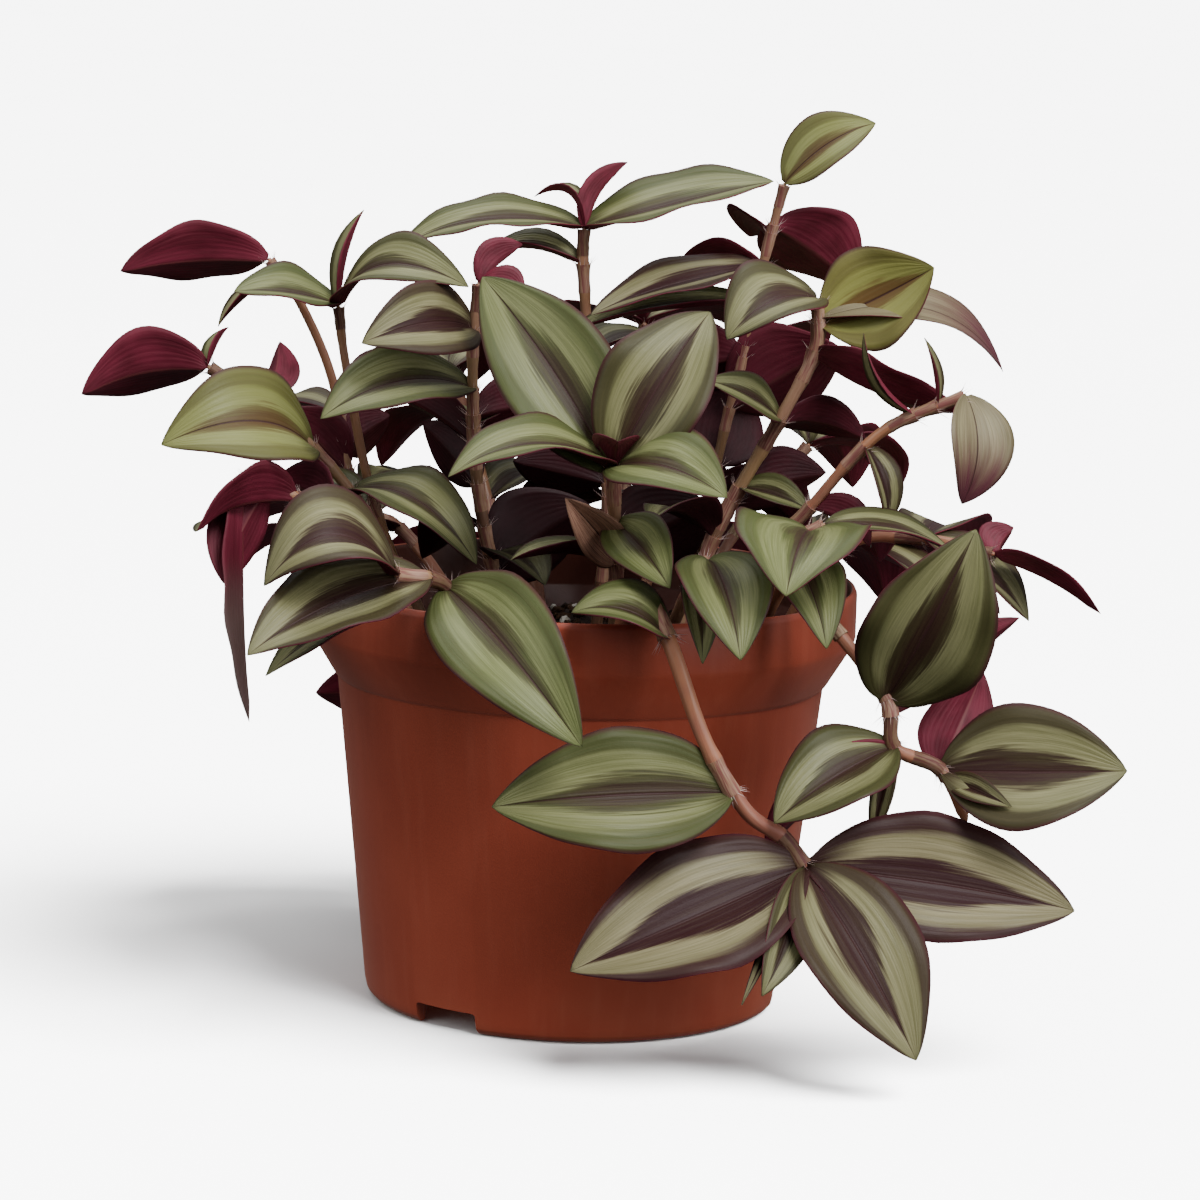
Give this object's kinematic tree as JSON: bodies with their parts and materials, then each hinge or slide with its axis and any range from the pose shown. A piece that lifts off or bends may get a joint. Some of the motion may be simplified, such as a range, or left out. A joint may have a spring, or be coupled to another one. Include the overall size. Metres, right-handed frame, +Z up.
{
  "type": "potted tradescantia",
  "caption": "Bushy striped-leaf houseplant in a round tapered nursery pot, with upright shoots and stems trailing over the rim.",
  "frame": {"origin": "centre of the foot disc under the pot, on the pot's axis, where the pot stands", "axes": "+Z up along the pot's axis, -Y towards the viewer of the picture, +X to the viewer's right"},
  "size_m": [0.2212, 0.189, 0.1963],
  "materials": {
    "clay_plastic": "satin",
    "soil": "rough, crumbly",
    "foliage": "waxy satin"
  },
  "bodies": {
    "root": {"pot": "clay_plastic", "soil": "soil", "shoot_left_high": "foliage", "shoot_left_arching": "foliage", "shoot_left_reaching": "foliage", "shoot_left_hanging": "foliage", "shoot_rim_left": "foliage", "shoot_front_rosette": "foliage", "shoot_crown_tall": "foliage", "shoot_left_inner": "foliage", "shoot_right_high": "foliage", "shoot_right_middle": "foliage", "shoot_right_reaching": "foliage", "shoot_rim_right": "foliage", "shoot_front_low": "foliage", "shoot_trailing_front": "foliage", "shoot_trailing_right": "foliage", "shoot_right_low": "foliage", "shoot_back_left_low": "foliage", "shoot_back_left_high": "foliage", "shoot_back_centre_high": "foliage", "shoot_back_right_high": "foliage", "shoot_back_right_low": "foliage", "shoot_back_centre_low": "foliage", "shoot_trailing_back": "foliage"}
  },
  "joints": []
}
